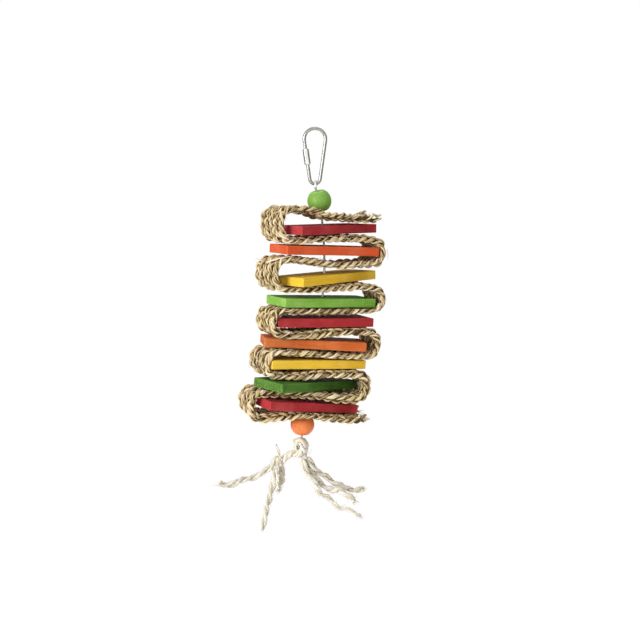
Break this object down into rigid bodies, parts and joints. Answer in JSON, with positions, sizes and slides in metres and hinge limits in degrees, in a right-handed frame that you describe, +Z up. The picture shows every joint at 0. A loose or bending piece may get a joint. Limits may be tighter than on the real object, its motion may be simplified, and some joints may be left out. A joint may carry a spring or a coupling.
{
  "type": "woven grass chew toy",
  "caption": "Hanging parrot chew toy: a plaited seagrass strip folded on a wire with a dyed wooden slat in every fold, beads, a quick link and a rope tassel.",
  "frame": {"origin": "inner top of the quick link, where the toy hangs on a hook or cage bar", "axes": "+Z up along the hanging toy, X across the flat of the quick link, +Y away from the viewer of the picture"},
  "size_m": [0.1729, 0.1107, 0.4043],
  "materials": {
    "link_steel": "nickel-plated steel wire, bright, slightly worn",
    "spine_steel": "galvanised steel wire, satin",
    "green_bead": "turned wood, dyed bright green, satin",
    "orange_bead": "turned wood, dyed orange, satin",
    "seagrass": "plaited two-ply seagrass cord, dry and matt, tan with olive and pink streaks",
    "slat_red": "sawn softwood dyed red, matt with visible grain",
    "slat_orange": "sawn softwood dyed orange, matt with visible grain",
    "slat_yellow": "sawn softwood dyed yellow, matt with visible grain",
    "slat_green": "sawn softwood dyed light green, matt with visible grain",
    "slat_dark_green": "sawn softwood dyed dark green, matt with visible grain",
    "rope": "cream fibre rope, unlaid and fuzzy, matt"
  },
  "bodies": {
    "quick_link": {"quick_link_body": "link_steel"},
    "link_sleeve": {"quick_link_sleeve": "link_steel"},
    "spine": {"spine_wire": "spine_steel", "seagrass_strip": "seagrass"},
    "top_bead": {"top_bead": "green_bead"},
    "bottom_bead": {"bottom_bead": "orange_bead"},
    "tassel": {"tassel_knot": "rope", "tassel_strand_1": "rope", "tassel_strand_2": "rope", "tassel_strand_3": "rope", "tassel_strand_4": "rope", "tassel_strand_5": "rope", "tassel_strand_6": "rope"},
    "slat_1": {"slat_1_red": "slat_red"},
    "slat_2": {"slat_2_orange": "slat_orange"},
    "slat_3": {"slat_3_yellow": "slat_yellow"},
    "slat_4": {"slat_4_green": "slat_green"},
    "slat_5": {"slat_5_red": "slat_red"},
    "slat_6": {"slat_6_orange": "slat_orange"},
    "slat_7": {"slat_7_yellow": "slat_yellow"},
    "slat_8": {"slat_8_dark_green": "slat_dark_green"},
    "slat_9": {"slat_9_red": "slat_red"}
  },
  "joints": [
    {"name": "sleeve_slide", "type": "slide", "parent": "quick_link", "child": "link_sleeve", "axis": [0.1406, 0, -0.9901], "range_m": [0, 0.01]},
    {"name": "toy_swing", "type": "hinge", "parent": "quick_link", "child": "spine", "pos_m": [0, 0, -0.0524], "axis": [1, 0, 0], "range_deg": [-60, 60]},
    {"name": "top_bead_spin", "type": "hinge", "parent": "spine", "child": "top_bead", "pos_m": [0.00437, 0.00204, -0.06925], "axis": [-0.2193, -0.1023, 0.9703], "continuous": true},
    {"name": "slat_1_turn", "type": "hinge", "parent": "spine", "child": "slat_1", "pos_m": [0.0078, 0.00356, -0.09706], "axis": [0.0048, 0.0022, 1], "range_deg": [-54, 16]},
    {"name": "slat_2_turn", "type": "hinge", "parent": "spine", "child": "slat_2", "pos_m": [0.00914, 0.00407, -0.11795], "axis": [0.0438, 0.0195, 0.9988], "range_deg": [-38, 32]},
    {"name": "slat_3_turn", "type": "hinge", "parent": "spine", "child": "slat_3", "pos_m": [0.00913, 0.00394, -0.1456], "axis": [-0.0237, -0.0102, 0.9997], "range_deg": [-56.5, 13.5]},
    {"name": "slat_4_turn", "type": "hinge", "parent": "spine", "child": "slat_4", "pos_m": [0.00679, 0.00282, -0.16901], "axis": [0.0477, 0.0198, 0.9987], "range_deg": [-41, 29]},
    {"name": "slat_5_turn", "type": "hinge", "parent": "spine", "child": "slat_5", "pos_m": [0.00377, 0.00149, -0.18849], "axis": [0.0365, 0.0144, 0.9992], "range_deg": [-36, 34]},
    {"name": "slat_6_turn", "type": "hinge", "parent": "spine", "child": "slat_6", "pos_m": [-0.00069, -0.00025, -0.21059], "axis": [0.0657, 0.024, 0.9976], "range_deg": [-24.5, 45.5]},
    {"name": "slat_7_turn", "type": "hinge", "parent": "spine", "child": "slat_7", "pos_m": [-0.00477, -0.00155, -0.2297], "axis": [0.058, 0.0189, 0.9981], "range_deg": [-42, 28]},
    {"name": "slat_8_turn", "type": "hinge", "parent": "spine", "child": "slat_8", "pos_m": [-0.00829, -0.00215, -0.25124], "axis": [0.0886, 0.023, 0.9958], "range_deg": [-65, 5]},
    {"name": "slat_9_turn", "type": "hinge", "parent": "spine", "child": "slat_9", "pos_m": [-0.01073, -0.00198, -0.27204], "axis": [0.1326, 0.0245, 0.9909], "range_deg": [-56, 14]},
    {"name": "bottom_bead_spin", "type": "hinge", "parent": "spine", "child": "bottom_bead", "pos_m": [-0.01271, -0.00156, -0.29338], "axis": [0.0808, 0.0099, 0.9967], "continuous": true},
    {"name": "tassel_swing", "type": "hinge", "parent": "spine", "child": "tassel", "pos_m": [-0.0136, -0.00167, -0.31463], "axis": [0, 1, 0], "range_deg": [-25, 25]}
  ]
}
